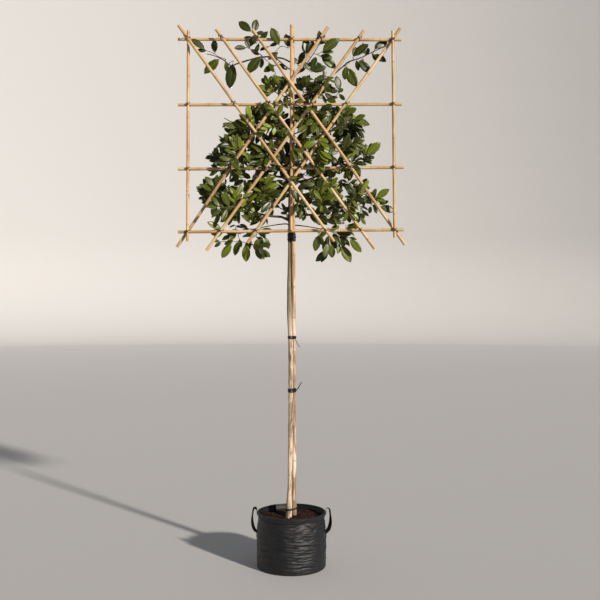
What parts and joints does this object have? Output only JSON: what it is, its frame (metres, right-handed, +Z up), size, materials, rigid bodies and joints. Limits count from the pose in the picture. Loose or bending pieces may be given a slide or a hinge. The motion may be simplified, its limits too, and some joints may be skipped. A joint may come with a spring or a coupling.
{
  "type": "pleached bay tree",
  "caption": "Evergreen with a clear stem and a flat crown trained on a lattice of bamboo canes, in a fabric grow bag with webbing handles.",
  "frame": {"origin": "middle of the bag's underside, on the surface it stands on", "axes": "+X along the lattice to the right as seen from its front, +Y from the lattice's front to its back, +Z up"},
  "size_m": [1.3489, 0.408, 3.1954],
  "materials": {
    "foliage": "glossy leathery leaves, dark green with younger lighter tips",
    "bark": "smooth pale grey-brown bark, dark brown on the young wood",
    "cane": "satin dry bamboo, straw-coloured, with darker nodes",
    "soil": "rough dark compost with bits of bark",
    "bag": "dull black woven plastic cloth, creased",
    "webbing": "dull dark grey webbing",
    "tie": "black soft tie, slightly shiny"
  },
  "bodies": {
    "root": {"grow_bag": "bag", "soil": "soil", "handle_left": "webbing", "handle_right": "webbing", "trunk": "bark", "support_cane": "cane", "rail_1": "cane", "rail_2": "cane", "rail_3": "cane", "rail_4": "cane", "upright_left": "cane", "upright_middle": "cane", "upright_right": "cane", "rising_1": "cane", "rising_2": "cane", "rising_3": "cane", "falling_1": "cane", "falling_2": "cane", "falling_3": "cane", "tie_base": "tie", "tie_lower": "tie", "tie_upper": "tie", "tie_frame": "tie", "bough_low_left": "bark", "bough_low_right": "bark", "bough_middle_left": "bark", "bough_middle_right": "bark", "bough_high_left": "bark", "bough_high_right": "bark", "bough_arm_left": "bark", "bough_arm_right": "bark", "foliage_skirt_left": "foliage", "foliage_skirt_right": "foliage", "foliage_low_left_inner": "foliage", "foliage_low_left_outer": "foliage", "foliage_low_right_inner": "foliage", "foliage_low_right_outer": "foliage", "foliage_middle_left_inner": "foliage", "foliage_middle_left_outer": "foliage", "foliage_middle_right_inner": "foliage", "foliage_middle_right_outer": "foliage", "foliage_high_left_inner": "foliage", "foliage_high_left_outer": "foliage", "foliage_high_right_inner": "foliage", "foliage_high_right_outer": "foliage", "foliage_shoulder_left": "foliage", "foliage_shoulder_right": "foliage", "foliage_crest_left": "foliage", "foliage_crest_right": "foliage", "foliage_arm_left": "foliage", "foliage_arm_right": "foliage"}
  },
  "joints": []
}
